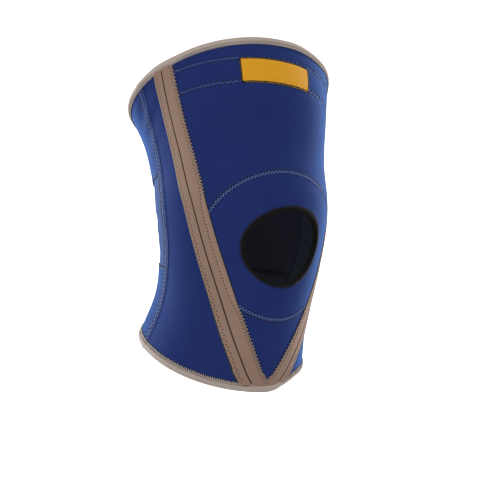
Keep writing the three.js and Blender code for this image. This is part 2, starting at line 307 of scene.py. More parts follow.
class Finish:
    """A material with one Principled shader, and the nodes that feed it."""

    def __init__(self, name):
        self.material = bpy.data.materials.new(name)
        self.material.use_nodes = True
        self.tree = self.material.node_tree
        self.shader = self.tree.nodes["Principled BSDF"]

    def put(self, socket, value):
        if isinstance(value, Wire):
            self.tree.links.new(value.socket, socket)
        elif isinstance(value, tuple) and len(value) == 3 and socket.type == "RGBA":
            socket.default_value = (*value, 1.0)
        else:
            socket.default_value = value

    def node(self, kind, settings=None, inputs=None, output=0):
        node = self.tree.nodes.new(kind)
        for key, value in (settings or {}).items():
            setattr(node, key, value)
        for key, value in (inputs or {}).items():
            self.put(node.inputs[key], value)
        return Wire(self, node.outputs[output])

    def set(self, **sockets):
        for key, value in sockets.items():
            self.put(self.shader.inputs[key.replace("_", " ")], value)

    def cloth(self):
        """The flat cloth coordinates in millimetres, as two wires."""
        uv = self.node("ShaderNodeUVMap", {"uv_map": "cloth"})
        parts = self.node("ShaderNodeSeparateXYZ", {}, {"Vector": uv}).socket.node
        return Wire(self, parts.outputs["X"]), Wire(self, parts.outputs["Y"])

    def noise(self, size, detail=2.0, roughness=0.5):
        """Noise from 0 to 1, whose blotches are about size metres across."""
        place = self.node("ShaderNodeTexCoord", output="Object")
        inputs = {"Vector": place, "Scale": 1 / size, "Detail": detail, "Roughness": roughness}
        return self.node("ShaderNodeTexNoise", {"noise_dimensions": "3D"}, inputs)

    def mix(self, mask, dark, light):
        """A colour from dark to light. A colour Mix node's sockets are 0, 6, 7 and output 2."""
        settings = {"data_type": "RGBA", "clamp_factor": True}
        return self.node("ShaderNodeMix", settings, {0: mask, 6: dark, 7: light}, 2)

    def bump(self, height, distance, strength=1.0):
        """Height from 0 to 1 becomes a relief of distance metres in the shading."""
        inputs = {"Height": height, "Distance": distance, "Strength": strength}
        self.set(Normal=self.node("ShaderNodeBump", {}, inputs))


print("shader helpers ready")

# %% [markdown]
# The outer face is a fine nylon jersey. Seen close, it has upright ribs of small loops. Seen
# from afar, it is matt and dark when seen straight on, and catches a pale blue bloom where it
# turns away, because the light grazes its nap. Sheen on the Principled shader makes that
# bloom. The ribs follow the flat cloth coordinates, so they bend with the sleeve, and a soft
# noise lets them wander as knitted loops do: dead straight ones would shimmer in the picture.
# The lining inside is the same knit in a darker colour.

# %% Jersey finishes
NAVY = (0.0150, 0.0285, 0.152)
NAVY_LIGHT = (0.0230, 0.0410, 0.196)
SLATE = (0.038, 0.064, 0.195)
SLATE_LIGHT = (0.052, 0.084, 0.232)
LINING = (0.042, 0.046, 0.068)
LINING_LIGHT = (0.062, 0.067, 0.094)
BLOOM = (0.16, 0.40, 1.0)


def jersey(name, dark, light, rib, rough, sheen):
    finish = Finish(name)
    u, v = finish.cloth()
    wander = finish.noise(0.0045, 2.0, 0.5)
    ribs = (u + wander * 2.2).wave(rib)
    loops = (v + ribs * (0.35 * rib) + wander * 1.4).wave(0.8 * rib)
    grain = finish.noise(0.0015, 3.0, 0.6)
    patches = finish.noise(0.060, 3.0, 0.55)
    worn = finish.noise(0.012, 4.0, 0.6)
    tone = patches * 0.75 + worn * 0.35 + grain * 0.40 + ribs * loops * 0.05 - 0.27
    finish.set(Base_Color=finish.mix(tone, dark, light), Roughness=grain * 0.10 + (rough - 0.05))
    finish.set(Sheen_Weight=sheen, Sheen_Roughness=0.37, Sheen_Tint=BLOOM, Specular_IOR_Level=0.08)
    finish.bump(ribs * 0.12 + loops * 0.10 + grain * 0.9, 0.00020)
    return finish.material


blue_jersey = jersey("blue_jersey", NAVY, NAVY_LIGHT, 0.85, 0.80, 1.0)
insert_jersey = jersey("insert_jersey", SLATE, SLATE_LIGHT, 0.75, 0.68, 0.60)
lining_jersey = jersey("lining_jersey", LINING, LINING_LIGHT, 1.0, 0.88, 0.20)
print("jersey finishes:", blue_jersey.name, insert_jersey.name, lining_jersey.name)

# %% [markdown]
# The bindings are knitted tape folded over the raw edge, and the side tapes are woven. Both
# are beige and matt. The binding's ribs run across it, while the woven tape shows a fine
# slanted twill. On the tape, v runs across from the crease, so the shader can paint shade into
# the crease. The ring round the kneecap is black knit.

# %% Knit and tape finishes
BEIGE = (0.480, 0.380, 0.325)
BEIGE_LIGHT = (0.660, 0.560, 0.500)
TAPE = (0.325, 0.203, 0.148)
TAPE_LIGHT = (0.440, 0.296, 0.226)
# The colour of the painted shade in the tape's crease.
CREASE_SHADE = (0.060, 0.036, 0.028)
BEIGE_BLOOM = (1.0, 0.86, 0.78)
BLACK = (0.0022, 0.0018, 0.0020)
BLACK_LIGHT = (0.0080, 0.0065, 0.0070)


def knit(name, dark, light, rib, sheen):
    finish = Finish(name)
    u, v = finish.cloth()
    ribs = u.wave(rib)
    rows = (v + ribs * 0.3).wave(0.9)
    grain = finish.noise(0.0011, 3.0, 0.6)
    patches = finish.noise(0.022, 3.0, 0.5)
    tone = patches * 0.6 + grain * 0.5 + ribs * 0.25 - 0.15
    finish.set(Base_Color=finish.mix(tone, dark, light), Roughness=grain * 0.08 + 0.84)
    finish.set(Sheen_Weight=sheen, Sheen_Roughness=0.4, Sheen_Tint=BEIGE_BLOOM, Specular_IOR_Level=0.2)
    finish.bump(ribs * 0.5 + rows * 0.25 + grain * 0.8, 0.00028)
    return finish.material


def twill(name, dark, light):
    finish = Finish(name)
    u, v = finish.cloth()
    lines = (u + v * 0.9).wave(1.25)
    cross = (u - v * 0.4).wave(0.7)
    grain = finish.noise(0.0010, 3.0, 0.6)
    patches = finish.noise(0.030, 3.0, 0.5)
    tone = patches * 0.6 + grain * 0.45 + lines * 0.22 - 0.12
    woven = finish.mix(tone, dark, light)
    # Painted shade: the tape's colour is darkened towards a dark brown in its crease.
    groove = 1 - (abs(v) / 0.75) ** 2
    finish.set(Base_Color=finish.mix(groove, woven, CREASE_SHADE), Roughness=grain * 0.08 + 0.82)
    finish.set(Sheen_Weight=0.5, Sheen_Roughness=0.35, Sheen_Tint=BEIGE_BLOOM, Specular_IOR_Level=0.2)
    finish.bump(lines * 0.40 + cross * 0.18 + grain * 0.9, 0.00022)
    return finish.material


beige_knit = knit("beige_knit", BEIGE, BEIGE_LIGHT, 1.15, 0.45)
beige_tape = twill("beige_tape", TAPE, TAPE_LIGHT)
black_knit = knit("black_knit", BLACK, BLACK_LIGHT, 1.2, 0.0)
print("knit and tape finishes:", beige_knit.name, beige_tape.name, black_knit.name)

# %% [markdown]
# Sewing thread is twisted, so each stitch has slanted light and dark across it. The threads
# only need a small noise for that, because a stitch is half a millimetre wide. The label is
# woven in satin: a plain amber field, whose long floats give it a slight shine.

# %% Thread and label finishes
THREAD_BLUE = ((0.085, 0.135, 0.350), (0.210, 0.290, 0.560))
# Real dark thread, on the lining, and painted shade at needle holes, gaps and tape edges.
DARK_THREAD_AND_SHADE = ((0.002, 0.003, 0.012), (0.007, 0.010, 0.030))
THREAD_BEIGE = ((0.560, 0.460, 0.385), (0.800, 0.700, 0.610))
THREAD_TAPE = ((0.380, 0.262, 0.198), (0.540, 0.400, 0.315))
# Painted shade: the dark brown of the needle holes on the tapes and the gaps on the bindings.
HOLE_SHADE = ((0.055, 0.036, 0.028), (0.095, 0.065, 0.052))
THREAD_BLACK = ((0.002, 0.002, 0.002), (0.012, 0.010, 0.010))
AMBER = (0.860, 0.370, 0.004)
AMBER_LIGHT = (0.980, 0.470, 0.008)


def thread(name, shades):
    finish = Finish(name)
    twist = finish.noise(0.0007, 2.0, 0.5)
    finish.set(Base_Color=finish.mix(twist * 1.4 - 0.2, shades[0], shades[1]), Roughness=0.62)
    finish.set(Sheen_Weight=0.15, Sheen_Roughness=0.4, Specular_IOR_Level=0.35)
    return finish.material


def satin(name, dark, light):
    finish = Finish(name)
    u, v = finish.cloth()
    wander = finish.noise(0.003, 2.0, 0.5)
    floats = (v + wander * 0.9).wave(0.55)
    ends = (u + wander * 1.4).wave(0.9)
    grain = finish.noise(0.0009, 3.0, 0.6)
    tone = floats * 0.20 + grain * 0.75 + ends * 0.10
    finish.set(Base_Color=finish.mix(tone, dark, light), Roughness=grain * 0.15 + 0.50)
    finish.set(Specular_IOR_Level=0.35)
    finish.bump(floats * 0.30 + ends * 0.15 + grain * 0.7, 0.00016)
    return finish.material


thread_blue = thread("thread_blue", THREAD_BLUE)
dark_thread_and_shade = thread("dark_thread_and_shade", DARK_THREAD_AND_SHADE)
thread_beige = thread("thread_beige", THREAD_BEIGE)
thread_tape = thread("thread_tape", THREAD_TAPE)
painted_hole_shade = thread("painted_hole_shade", HOLE_SHADE)
thread_black = thread("thread_black", THREAD_BLACK)
amber_weave = satin("amber_weave", AMBER, AMBER_LIGHT)
print("finishes in all:", len(bpy.data.materials))

# %% [markdown]
# All cloth pieces are made in the same few steps. A grid is drawn on the flat cloth, solidify
# gives it the thickness of the wall, and a small bevel rolls its cut edges, which is what makes
# a seam look like a seam: light catches the rolled edge and shade fills the gap. The flat
# coordinates are kept as a UV map for the weave, and last the points are laid on the form.

# %% Steps that every cloth piece shares
COLLECTION = bpy.context.scene.collection


def points_of(bm):
    return np.array([vert.co for vert in bm.verts]).T


def move_points(bm, x, y, z):
    for vert, place in zip(bm.verts, np.column_stack([x, y, z]).tolist()):
        vert.co = place


def grid(columns, rows):
    """A flat grid whose x and y run from 0 to 1."""
    bm = bmesh.new()
    bmesh.ops.create_grid(bm, x_segments=columns, y_segments=rows, size=0.5)
    bmesh.ops.translate(bm, verts=bm.verts, vec=(0.5, 0.5, 0.0))
    return bm


def thicken(bm, wall, roll, segments=3):
    """Gives a flat sheet its wall below z = 0, and rolls the edges of its outer face."""
    bmesh.ops.remove_doubles(bm, verts=bm.verts, dist=0.0005)
    bmesh.ops.recalc_face_normals(bm, faces=bm.faces)
    if sum(face.normal.z for face in bm.faces) < 0:
        bmesh.ops.reverse_faces(bm, faces=bm.faces)
    bmesh.ops.solidify(bm, geom=bm.faces[:], thickness=wall)
    top = max(vert.co.z for vert in bm.verts)
    bmesh.ops.translate(bm, verts=bm.verts, vec=(0.0, 0.0, -top))
    rims = [edge for edge in bm.edges
            if edge.is_manifold and edge.calc_face_angle(0.0) > 1.0
            and min(vert.co.z for vert in edge.verts) > -0.01]
    bmesh.ops.bevel(bm, geom=rims, offset=roll, offset_type="OFFSET", affect="EDGES",
                    segments=segments, profile=0.5, material=-1, clamp_overlap=True)


def to_object(name, bm, materials):
    mesh = bpy.data.meshes.new(name)
    bm.to_mesh(mesh)
    bm.free()
    for material in materials:
        mesh.materials.append(material)
    obj = bpy.data.objects.new(name, mesh)
    COLLECTION.objects.link(obj)
    return obj


def lay(obj, uv=None, place=None):
    """Writes the cloth UV map of a flat piece and lays its points on the form."""
    mesh = obj.data
    co = np.empty(3 * len(mesh.vertices))
    mesh.vertices.foreach_get("co", co)
    x, y, z = co.reshape(-1, 3).T
    u, v = uv(x, y, z) if uv else (x, y)
    corners = np.empty(len(mesh.loops), int)
    mesh.loops.foreach_get("vertex_index", corners)
    layer = mesh.uv_layers.new(name="cloth")
    layer.data.foreach_set("uv", np.column_stack([u[corners], v[corners]]).ravel())
    flat = place(x, y, z) if place else (x, y, z)
    mesh.vertices.foreach_set("co", wrap(*flat).ravel())
    mesh.shade_smooth()
    mesh.update()


def close_up(obj):
    """Joins the two ends of a piece that runs all round, and turns its faces outwards."""
    bm = bmesh.new()
    bm.from_mesh(obj.data)
    bmesh.ops.remove_doubles(bm, verts=bm.verts, dist=2e-6)
    bmesh.ops.recalc_face_normals(bm, faces=bm.faces)
    bm.to_mesh(obj.data)
    bm.free()
    obj.data.shade_smooth()


def dress(obj, slot, *nodes):
    """The piece rides with the sleeve and stands for the CAD nodes. Its slot is not used."""
    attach(obj, "root")
    if nodes:
        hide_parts(*nodes)
    print(obj.name, "triangles:", sum(len(face.vertices) - 2 for face in obj.data.polygons))


# %% [markdown]
# The front panel is one piece of neoprene that reaches round both sides to the back seams. It
# has an oval hole for the pad. A grid is bent into a ring round that hole: its first row lies
# on the panel's outline and its last row on the oval. Every row between is a mix of the two,
# so the mesh flows from the square outline to the round seam without a break.

# %% The front panel
THIGH_BINDING, CALF_BINDING = 4.5, 5.7
SEAM_GAP = 0.06
WALL = 4.0
SEAM_ROLL = 0.55
PANEL_TOP = THIGH_LENGTH - THIGH_BINDING + 0.6
PANEL_BOTTOM = -CALF_LENGTH + CALF_BINDING - 0.6


def seam_x(place):
    """The flat place of the right back seam, half a seam gap to the front of it."""
    around, along = run_of(np.full(np.shape(place), 90.0), np.asarray(place, float))
    return (seam_angle(place) - SEAM_GAP / 2 / np.linalg.norm(around, axis=-1)) * MM_PER_DEGREE


def panel_outline(share):
    """Walks the panel's edge once, from 0 to 1: right seam, top, left seam, bottom."""
    quarter = share * 4
    t = quarter % 1
    side = np.minimum(quarter.astype(int), 3)
    y = np.choose(side, [PANEL_BOTTOM + (PANEL_TOP - PANEL_BOTTOM) * t, PANEL_TOP,
                         PANEL_TOP + (PANEL_BOTTOM - PANEL_TOP) * t, PANEL_BOTTOM])
    x = np.choose(side, [1.0, 1 - 2 * t, -1.0, 2 * t - 1]) * seam_x(y)
    return x, y


def direction_of(x, y):
    """The direction of a flat point from the pad's middle, so that all the rings line up."""
    return np.arctan2((y - PAD_PLACE) / PAD_HEIGHT, x / PAD_WIDTH)


def from_pad_middle(across, up):
    """The flat point that lies some real millimetres across and up from the pad's middle."""
    around, along = run_of(np.array([0.0]), np.array([PAD_PLACE]))
    wide = np.linalg.norm(around) / MM_PER_DEGREE
    return across / wide, PAD_PLACE + up / np.linalg.norm(along)


def pad_edge(direction, margin):
    """A point of the pad's seam, which is moved outwards by a margin."""
    across = (PAD_WIDTH / 2 + margin) * np.cos(direction)
    return from_pad_middle(across, (PAD_HEIGHT / 2 + margin) * np.sin(direction))


def between(outer, inner, share):
    return [a + (b - a) * share for a, b in zip(outer, inner)]


ROUND_STEPS = 4 * 108
bm = grid(ROUND_STEPS, 44)
turn_share, ring_share, flat_z = points_of(bm)
outline = panel_outline(turn_share % 1)
hole = pad_edge(direction_of(*outline), SEAM_GAP / 2)
move_points(bm, *between(outline, hole, ring_share), flat_z)
thicken(bm, WALL, SEAM_ROLL)
for face in bm.faces:
    face.material_index = 1 if face.calc_center_median().z < -0.7 * WALL else 0
front_panel = to_object("front_panel_cloth", bm, [blue_jersey, lining_jersey])
lay(front_panel)
dress(front_panel, "blue_jersey", "front_panel")

# %% [markdown]
# The oval pad is thicker than the panel, and a little fuller. It is made in the same way, as
# a ring between its seam and the edge of the opening's binding. The opening isn't a plain
# oval on the worn sleeve: it leans to one side, and is wider above its middle than below.

# %% The knee pad
PAD_WALL = 5.0
OPENING_WIDTH, OPENING_HEIGHT = 64.0, 52.5
OPENING_DROP = 1.4
OPENING_TILT = math.radians(15)
OPENING_FLARE = 0.10
RING_WIDTH = 3.1
RING_WALL = 3.0


def opening_edge(direction, margin):
    """A point of the opening's edge, which is moved outwards by a margin."""
    lean = direction - OPENING_TILT
    flare = 1 + OPENING_FLARE * np.sin(lean)
    across = (OPENING_WIDTH / 2 + margin) * flare * np.cos(lean)
    up = (OPENING_HEIGHT / 2 + margin) * np.sin(lean)
    turned_across = across * math.cos(OPENING_TILT) - up * math.sin(OPENING_TILT)
    turned_up = across * math.sin(OPENING_TILT) + up * math.cos(OPENING_TILT)
    return from_pad_middle(turned_across, turned_up - OPENING_DROP)


def ring_width(direction):
    """The binding of the opening is pulled wider at its top than at its bottom."""
    return RING_WIDTH * (1 + 0.22 * np.sin(direction))


bm = grid(ROUND_STEPS // 2, 16)
turn_share, ring_share, flat_z = points_of(bm)
outline = panel_outline(turn_share % 1)
direction = direction_of(*outline)
seam_oval = pad_edge(direction, -SEAM_GAP / 2)
opening = opening_edge(direction, ring_width(direction) - 0.4)
move_points(bm, *between(seam_oval, opening, ring_share), flat_z)
thicken(bm, PAD_WALL, SEAM_ROLL)
for face in bm.faces:
    face.material_index = 1 if face.calc_center_median().z < -0.7 * PAD_WALL else 0
x, y, z = points_of(bm)
ring_steps = np.linspace(0, 2 * np.pi, 241)
rim = np.stack(opening_edge(ring_steps, ring_width(ring_steps) - 0.4))
rim_gap = np.hypot(x[:, None] - rim[0], y[:, None] - rim[1]).min(axis=1)
pressed = np.exp(-(rim_gap / 7.0) ** 2)
move_points(bm, x, y, z * (1 - (1 - RING_WALL / PAD_WALL) * pressed))
knee_pad = to_object("knee_pad_cloth", bm, [blue_jersey, lining_jersey])
lay(knee_pad)
dress(knee_pad, "blue_jersey", "knee_pad")

# %% [markdown]
# Behind the two back seams are three panels: neoprene above and below, and a thin knitted
# insert between them, where the knee bends. They are plain strips of the flat cloth, so each
# is a grid stretched between the seams. The insert lies lower than its neighbours.

# %% The three back panels
INSERT_TOP = 0.285 * THIGH_LENGTH
INSERT_BOTTOM = -0.44 * CALF_LENGTH
INSERT_WALL = 2.0
INSERT_INSET = 0.8
TUCK = 0.7


def back_panel(name, bottom, top, inset, wall, material, slot, node):
    bm = grid(118, max(12, round((top - bottom) / 1.9)))
    across, up, flat_z = points_of(bm)
    place = bottom + (top - bottom) * up
    edge = seam_x(place) + SEAM_GAP * 0.8
    move_points(bm, edge + (360 * MM_PER_DEGREE - 2 * edge) * across, place, flat_z)
    thicken(bm, wall, SEAM_ROLL)
    for face in bm.faces:
        face.material_index = 1 if face.calc_center_median().z < -0.7 * wall else 0
    bmesh.ops.translate(bm, verts=bm.verts, vec=(0.0, 0.0, -inset))
    obj = to_object(name, bm, [material, lining_jersey])
    lay(obj)
    dress(obj, slot, node)
    return obj


upper_back = back_panel("upper_back_cloth", INSERT_TOP + SEAM_GAP / 2, PANEL_TOP, 0.0, WALL,
                        blue_jersey, "blue_jersey", "upper_back_panel")
insert = back_panel("popliteal_cloth", INSERT_BOTTOM - TUCK, INSERT_TOP + TUCK, INSERT_INSET, INSERT_WALL,
                    insert_jersey, "insert_jersey", "popliteal_insert")
lower_back = back_panel("lower_back_cloth", PANEL_BOTTOM, INSERT_BOTTOM - SEAM_GAP / 2, 0.0, WALL,
                        blue_jersey, "blue_jersey", "lower_back_panel")

# %% [markdown]
# Tapes cover the side seams and run down to meet in a V at the front of the calf rim. Each is
# a woven tape folded along its middle, so that its two bands meet in a fine crease. The grid
# has more columns near the crease. Each column has a height, which makes the crease a real
# groove and each band slightly crowned. The rear edge slopes down and takes the dark thread
# finish: painted shade, as a thick tape has beside it.

# %% The side tapes
TAPE_FRONT_BAND, TAPE_REAR_BAND = 10.5, 8.0
TAPES_MEET = 1.5
TAPE_HEIGHT = 0.9
TAPE_COLUMNS = 34
TAPE_TUCK = 1.0


def tape_x(side, across, place):
    """The flat x of a line that keeps its distance from the crease, square to its run."""
    place = np.asarray(place, float)
    crease = crease_angle(place, side)
    around, along = run_of(side * crease, place)
    drift = (crease_angle(place + 1, side) - crease_angle(place - 1, side)) / 2
    wide = np.linalg.norm(around, axis=-1)
    slant = np.arctan(drift * wide / np.linalg.norm(along, axis=-1))
    front_line = side * TAPES_MEET + SEAM_GAP / 2 / wide
    drawn_in = np.where(across < 0, 1 - 0.16 * ease(place, 64, 92), 1.0)
    offset = across * drawn_in / (np.cos(slant) * wide)
    return side * np.maximum(crease + offset, front_line) * MM_PER_DEGREE


def band_height(across):
    """The height of the tape's outer face across it: two crowned bands and a groove."""
    band = np.where(across < 0, TAPE_FRONT_BAND, TAPE_REAR_BAND)
    share = np.abs(across) / band
    crown = 1 - np.clip(np.abs(2 * share - 1), 0, 1) ** 7
    groove = np.exp(-(across / 0.55) ** 2)
    return 0.12 + (TAPE_HEIGHT - 0.12) * (0.62 + 0.38 * crown) * (1 - 0.75 * groove)


def side_tape(name, side, node):
    bm = grid(TAPE_COLUMNS, 132)
    bmesh.ops.solidify(bm, geom=bm.faces[:], thickness=0.05)
    share, up, flat_z = points_of(bm)
    outer = flat_z > flat_z.mean()
    middle = TAPE_FRONT_BAND / (TAPE_FRONT_BAND + TAPE_REAR_BAND)
    offset = share - middle
    pulled = middle + np.sign(offset) * np.abs(offset) ** 1.6 * np.where(
        offset < 0, middle ** -0.6, (1 - middle) ** -0.6)
    across = pulled * (TAPE_FRONT_BAND + TAPE_REAR_BAND) - TAPE_FRONT_BAND
    place = PANEL_BOTTOM - 0.6 + (PANEL_TOP - PANEL_BOTTOM + 1.2) * up
    height = np.where(outer, band_height(across), 0.02)
    spread = np.where(outer, 0.0, TAPE_TUCK * (share > 0.999))
    move_points(bm, across + spread, place, height)
    bmesh.ops.recalc_face_normals(bm, faces=bm.faces)
    # The sloped rear edge faces take the second, dark finish: painted shade beside the tape.
    for face in bm.faces:
        if min(vert.co.x for vert in face.verts) > TAPE_REAR_BAND - 0.01:
            face.material_index = 1
    obj = to_object(name, bm, [beige_tape, dark_thread_and_shade])
    lay(obj, uv=lambda x, y, z: (y, x), place=lambda x, y, z: (tape_x(side, x, y), y, z))
    close_up(obj)
    dress(obj, "beige_tape", node)
    return obj


lateral_tape = side_tape("lateral_tape_cloth", -1, "lateral_tape")
medial_tape = side_tape("medial_tape_cloth", 1, "medial_tape")

# %% [markdown]
# A binding is a knitted tape folded round a cut edge, so its section is a soft, squarish roll.
# A grid whose y runs round that section and whose x runs round the rim makes it. The binding
# passes over the ends of the tapes, so it bulges there.

# %% The bindings at the rims
BINDING_PROUD = 0.95


def roll(turn_share, width, wall, proud, power=0.72):
    """The section of a folded binding: how far it lies across the edge, and its height."""
    turn = 2 * np.pi * turn_share
    cos, sin = np.cos(turn), np.sin(turn)
    across = width * (0.5 - 0.5 * np.sign(cos) * np.abs(cos) ** power)
    height = (wall / 2 + proud) * np.sign(sin) * np.abs(sin) ** power - wall / 2
    return across, height


def over_tapes(x, rim):
    """1 where the binding crosses a tape, falling to 0 beside it."""
    angle = (x / MM_PER_DEGREE + 180) % 360 - 180
    crease = np.where(angle < 0, crease_angle(rim, -1), crease_angle(rim, 1))
    gap = (np.abs(angle) - crease) * MM_PER_DEGREE
    return 1 / (1 + np.exp((np.abs(gap + 1.5) - 9.0) / 0.9))


def rim_binding(name, rim, side, width, node):
    bm = grid(420, 18)
    around, turn_share, flat_z = points_of(bm)
    x = (around - 0.5) * 360 * MM_PER_DEGREE
    across, height = roll(turn_share, width, WALL, BINDING_PROUD)
    bulge = 0.55 * over_tapes(x, rim) * np.clip(height + WALL / 2, 0, 9) / (WALL / 2)
    wave = 0.10 * np.sin(x / 7.3) + 0.07 * np.sin(x / 3.1 + 1.0)
    move_points(bm, x, across + wave * (across / width), height + bulge)
    section = 15.5
    shares = turn_share.copy()
    obj = to_object(name, bm, [beige_knit])
    lay(obj, uv=lambda x, y, z: (x, shares * section),
        place=lambda x, y, z: (x, rim - side * y, z))
    close_up(obj)
    dress(obj, "beige_knit", node)
    return obj


thigh_binding = rim_binding("thigh_binding_cloth", THIGH_LENGTH, 1, THIGH_BINDING, "thigh_binding")
calf_binding = rim_binding("calf_binding_cloth", -CALF_LENGTH, -1, CALF_BINDING, "calf_binding")

# %% [markdown]
# The kneecap opening has the same kind of binding in black knit. It is made as the rim's is,
# with its x run round the oval.

# %% The binding of the kneecap opening
RING_PROUD = 0.6

bm = grid(220, 18)
around_share, turn_share, flat_z = points_of(bm)
direction = around_share * 2 * np.pi
across, height = roll(turn_share, ring_width(direction), RING_WALL, RING_PROUD)
move_points(bm, direction, across, height)
ring_shares = turn_share.copy()
kneecap_binding = to_object("kneecap_binding_cloth", bm, [black_knit])
lay(kneecap_binding, uv=lambda x, y, z: (x * 30, ring_shares * 15.0),
    place=lambda x, y, z: (*opening_edge(x, y), z))
close_up(kneecap_binding)
dress(kneecap_binding, "black_knit", "kneecap_binding")

# %% [markdown]
# The label is a plain strip of amber satin, sewn on above the knee with a narrow dark border.
# It has rounded corners. Its grid is squeezed at the corners, which rounds them without
# cutting faces.

# %% The label
LABEL_ANGLE, LABEL_PLACE = -5.8, 73.5
LABEL_HALF = (29.4, 7.5)
LABEL_TILT, LABEL_SHEAR = -0.036, 0.07


def label_point(x, y):
    """A point of the label's own face, in millimetres from its middle, on the flat cloth."""
    around, along = run_of(np.array([LABEL_ANGLE]), np.array([LABEL_PLACE]))
    wide = np.linalg.norm(around) / MM_PER_DEGREE
    return LABEL_ANGLE * MM_PER_DEGREE + (x + LABEL_SHEAR * y) / wide, LABEL_PLACE + y + LABEL_TILT * x


bm = grid(60, 20)
share_x, share_y, flat_z = points_of(bm)
label_x, label_y = (2 * share_x - 1) * LABEL_HALF[0], (2 * share_y - 1) * LABEL_HALF[1]
ROUNDING = 1.6
over_x = np.clip(np.abs(label_x) - LABEL_HALF[0] + ROUNDING, 0, ROUNDING) / ROUNDING
over_y = np.clip(np.abs(label_y) - LABEL_HALF[1] + ROUNDING, 0, ROUNDING) / ROUNDING
trim = ROUNDING * 0.42 * (over_x * over_y)
move_points(bm, label_x - np.sign(label_x) * trim, label_y - np.sign(label_y) * trim, flat_z)
thicken(bm, 0.7, 0.25, 2)
bmesh.ops.translate(bm, verts=bm.verts, vec=(0.0, 0.0, 0.72))
label = to_object("label_cloth", bm, [amber_weave])
lay(label, place=lambda x, y, z: (*label_point(x, y), z))
dress(label, "amber_weave", "label")

# %% [markdown]
# Stitches are what tells a sewn sleeve from a moulded one, and there are thousands. One stitch
# is a small stretched ball, half sunk in the cloth. An Array modifier repeats it, and NumPy
# then puts each copy at its own place along a line that is drawn on the flat cloth. The places
# are evenly spaced in real millimetres, however the cloth bends.

# %% One stitch, and rows of it
rng = np.random.default_rng(11)


def one_stitch():
    bm = bmesh.new()
    bmesh.ops.create_uvsphere(bm, u_segments=6, v_segments=5, radius=0.5)
    bmesh.ops.rotate(bm, verts=bm.verts, cent=(0, 0, 0), matrix=Matrix.Rotation(math.pi / 2, 3, "Y"))
    for vert in bm.verts:
        vert.co.z -= 0.35 * vert.co.x ** 2
    return bm


def along_line(line, pitch, height=0.0, first=0.0, last=1.0):
    """Even places along a flat line: their points, and the directions along, across and out."""
    share = np.linspace(first, last, 2400)
    x, y = np.broadcast_arrays(*line(share))
    points = wrap(x, y, np.full(x.shape, height))
    run = np.concatenate([[0.0], np.cumsum(np.linalg.norm(np.diff(points, axis=0), axis=1))])
    count = max(1, round(run[-1] / (pitch * MM)))
    middle = np.interp((np.arange(count) + 0.5) / count * run[-1], run, share)
    tiny = 1e-4
    spots = [np.broadcast_arrays(*line(middle + d)) for d in (-tiny, 0.0, tiny)]
    before, here, after = [wrap(x, y, np.full(x.shape, height)) for x, y in spots]
    along = after - before
    along /= np.linalg.norm(along, axis=1, keepdims=True)
    out = outward(spots[1][0] / MM_PER_DEGREE, spots[1][1])
    across = np.cross(out, along)
    return here, along, across, out


def stitches(place, length, width, height, turn=0.0, zigzag=False, sway=0.0, inside=False):
    """The frames of a row of stitches, each turned from the line by turn degrees."""
    here, along, across, out = place
    if inside:
        across, out = -across, -out
    count = len(here)
    flip = np.where(np.arange(count) % 2 == 0, 1.0, -1.0)
    angle = np.radians(turn) * (flip if zigzag else 1.0) + rng.normal(0, 0.03, count)
    ahead = along * np.cos(angle)[:, None] + across * np.sin(angle)[:, None]
    beside = np.cross(out, ahead)
    wobble = rng.normal(0, 0.05, (count, 2)) * MM
    middle = here + across * (sway * MM * flip[:, None] + wobble[:, :1]) + along * wobble[:, 1:]
    size = np.array([length, width, height]) * MM * rng.uniform(0.94, 1.06, (count, 1))
    return middle, ahead * size[:, :1], beside * size[:, 1:2], out * size[:, 2:]


def sew(name, rows, material, slot):
    """One object from rows of stitches."""
    middle, ahead, beside, out = [np.concatenate(parts) for parts in zip(*rows)]
    obj = to_object(name, one_stitch(), [material])
    repeat = obj.modifiers.new("repeat", "ARRAY")
    repeat.count = len(middle)
    repeat.use_relative_offset = False
    repeat.use_constant_offset = True
    repeat.constant_offset_displace = (0.0, 0.0, 0.0)
    single = np.array([vert.co for vert in obj.data.vertices])
    bpy.context.view_layer.update()
    graph = bpy.context.evaluated_depsgraph_get()
    mesh = bpy.data.meshes.new_from_object(obj.evaluated_get(graph))
    obj.modifiers.clear()
    obj.data = mesh
    mesh.name = name
    placed = middle[:, None] + (single[:, 0][None, :, None] * ahead[:, None]
                                + single[:, 1][None, :, None] * beside[:, None]
                                + single[:, 2][None, :, None] * out[:, None])
    mesh.vertices.foreach_set("co", placed.ravel())
    mesh.shade_smooth()
    mesh.update()
    dress(obj, slot)
    return obj


print("faces in one stitch:", len(one_stitch().faces))

# %% [markdown]
# The inner edge of each binding is overlocked: short threads lie side by side across it, half
# on the binding and half on the panel. Between them lie dark ticks on the binding and dark
# bites in the panel, half a stitch further on: these are painted shade in the gaps between the
# threads. The black ring is overlocked too. A stitch's size is its length, width and height in
# millimetres, and its turn is the angle from the row's run. RIM_ROUND is about the way round a rim.

# %% Overlocked edges of the bindings


def rim_line(rim, side, inset):
    return lambda t: ((t - 0.5) * 360 * MM_PER_DEGREE, rim - side * inset + 0 * t)


OVERLOCK_PITCH, RING_PITCH = 1.7, 1.45
RIM_ROUND = 460.0
half_stitch = 0.5 * OVERLOCK_PITCH / RIM_ROUND
OVERLOCK = (2.9, 0.85, 0.9)
TICK_SHADE = (1.7, 0.55, 0.42)
GAP_SHADE = (1.3, 0.95, 0.5)
INNER_OVERLOCK = (2.8, 0.9, 0.8)
RING_STITCH = (2.7, 0.8, 0.8)

